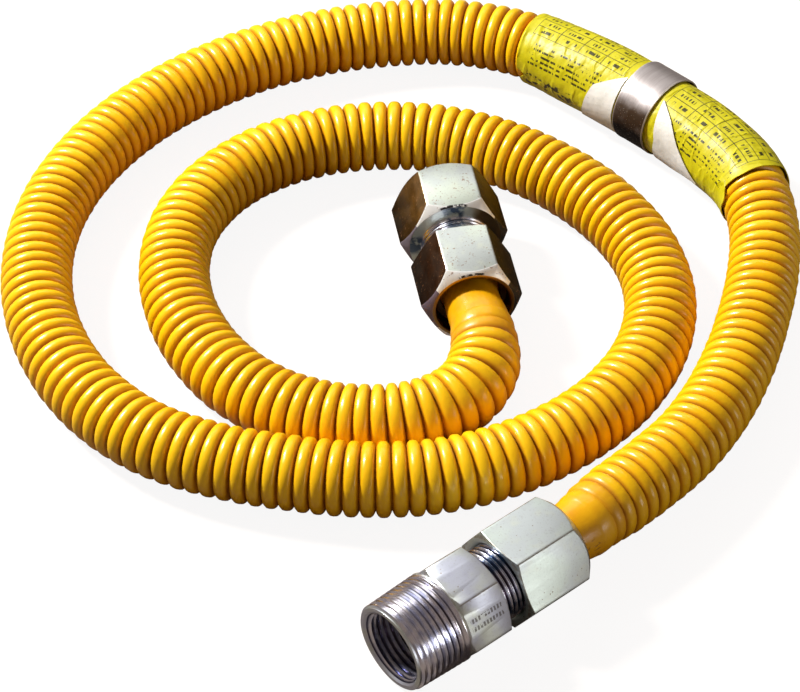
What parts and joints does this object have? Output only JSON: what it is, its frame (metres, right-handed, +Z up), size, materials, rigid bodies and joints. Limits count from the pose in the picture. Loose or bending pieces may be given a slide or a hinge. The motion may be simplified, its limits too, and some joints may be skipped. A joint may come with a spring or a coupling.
{
  "type": "flexible gas hose",
  "caption": "Coated corrugated metal gas hose lying in a loose spiral, with swivelling flare nuts, a male and a female threaded adapter, and a banded rating sleeve.",
  "frame": {"origin": "middle of the footprint, on the surface that the hose lies on", "axes": "+Z up, +X to the right and +Y away as the picture shows the spiral"},
  "size_m": [0.2371, 0.2793, 0.0283],
  "materials": {
    "coat": "glossy orange-yellow coat over corrugated metal",
    "label": "lemon-yellow printed film",
    "band": "plain rolled strip",
    "zinc": "bright zinc plating, slightly tarnished"
  },
  "bodies": {
    "hose_body": {"corrugated_hose": "coat", "rating_sleeve": "label", "sleeve_band": "band"},
    "male_nut": {"male_end_nut": "zinc"},
    "male_fitting": {"male_adapter": "zinc"},
    "female_nut": {"female_end_nut": "zinc"},
    "female_fitting": {"female_adapter": "zinc"}
  },
  "joints": [
    {"name": "male_nut_turn", "type": "hinge", "parent": "hose_body", "child": "male_nut", "pos_m": [0.0317, -0.1005, 0.0133], "axis": [-0.7782, -0.628, 0], "range_deg": [-1440, 360]},
    {"name": "male_fitting_advance", "type": "slide", "parent": "hose_body", "child": "male_fitting", "axis": [-0.7782, -0.628, 0], "range_m": [-0.00159, 0.00635]},
    {"name": "female_nut_turn", "type": "hinge", "parent": "hose_body", "child": "female_nut", "pos_m": [0.0184, 0.0064, 0.01415], "axis": [-0.1616, 0.9869, 0], "range_deg": [-1440, 360]},
    {"name": "female_fitting_advance", "type": "slide", "parent": "hose_body", "child": "female_fitting", "axis": [-0.1616, 0.9869, 0], "range_m": [-0.00159, 0.00635]}
  ],
  "couplings": [
    {"joint": "male_nut_turn", "follows": "male_fitting_advance", "rad_per_m": -3957.9},
    {"joint": "female_nut_turn", "follows": "female_fitting_advance", "rad_per_m": -3957.9}
  ]
}
